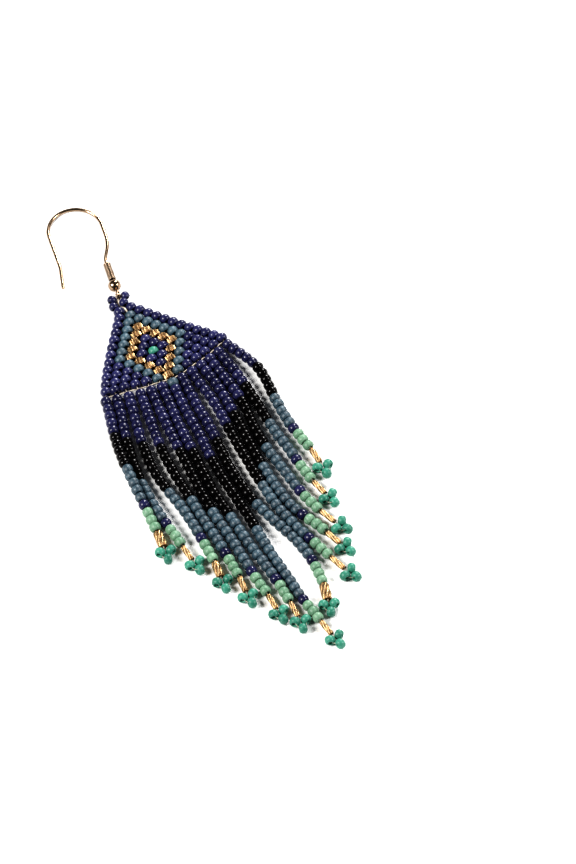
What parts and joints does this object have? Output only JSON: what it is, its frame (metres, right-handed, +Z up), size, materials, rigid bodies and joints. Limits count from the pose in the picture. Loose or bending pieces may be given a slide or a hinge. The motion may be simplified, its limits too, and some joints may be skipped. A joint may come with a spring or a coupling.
{
  "type": "beaded fringe earring",
  "caption": "Beaded fringe earring: a stitched diamond panel of seed beads on a gold ear wire, with long straight strands ending in gold bugles and small turquoise clusters.",
  "frame": {"origin": "on the surface the earring lies on, under the centre bead of the panel's diamond", "axes": "+X across the panel, +Y from the fringe towards the ear wire, +Z up from the surface"},
  "size_m": [0.0382, 0.1113, 0.0032],
  "materials": {
    "gold_wire": "polished gold plate",
    "navy_beads": "glossy opaque navy glass",
    "black_beads": "glossy opaque black glass",
    "steel_beads": "satin steel blue glass",
    "mint_beads": "satin opaque mint glass",
    "turquoise_beads": "opaque turquoise glass",
    "gold_beads": "metallic gold coated cut glass",
    "thread": "waxed white beading thread"
  },
  "bodies": {
    "root": {"ear_hook": "gold_wire", "hook_ball": "gold_wire", "hook_coil": "gold_wire", "hanging_loop": "navy_beads", "bead_panel": "navy_beads", "strand_01": "black_beads", "gold_bugle_01": "gold_beads", "picot_01": "turquoise_beads", "strand_02": "black_beads", "gold_bugle_02": "gold_beads", "picot_02": "turquoise_beads", "strand_03": "black_beads", "gold_bugle_03": "gold_beads", "picot_03": "turquoise_beads", "strand_04": "black_beads", "gold_bugle_04": "gold_beads", "picot_04": "turquoise_beads", "strand_05": "black_beads", "gold_bugle_05": "gold_beads", "picot_05": "turquoise_beads", "strand_06": "black_beads", "gold_bugle_06": "gold_beads", "picot_06": "turquoise_beads", "strand_07": "black_beads", "gold_bugle_07": "gold_beads", "picot_07": "turquoise_beads", "strand_08": "black_beads", "gold_bugle_08": "gold_beads", "picot_08": "turquoise_beads", "strand_09": "black_beads", "gold_bugle_09": "gold_beads", "picot_09": "turquoise_beads", "strand_10": "black_beads", "gold_bugle_10": "gold_beads", "picot_10": "turquoise_beads", "strand_11": "black_beads", "gold_bugle_11": "gold_beads", "picot_11": "turquoise_beads", "strand_12": "black_beads", "gold_bugle_12": "gold_beads", "picot_12": "turquoise_beads", "strand_13": "black_beads", "gold_bugle_13": "gold_beads", "picot_13": "turquoise_beads"}
  },
  "joints": []
}
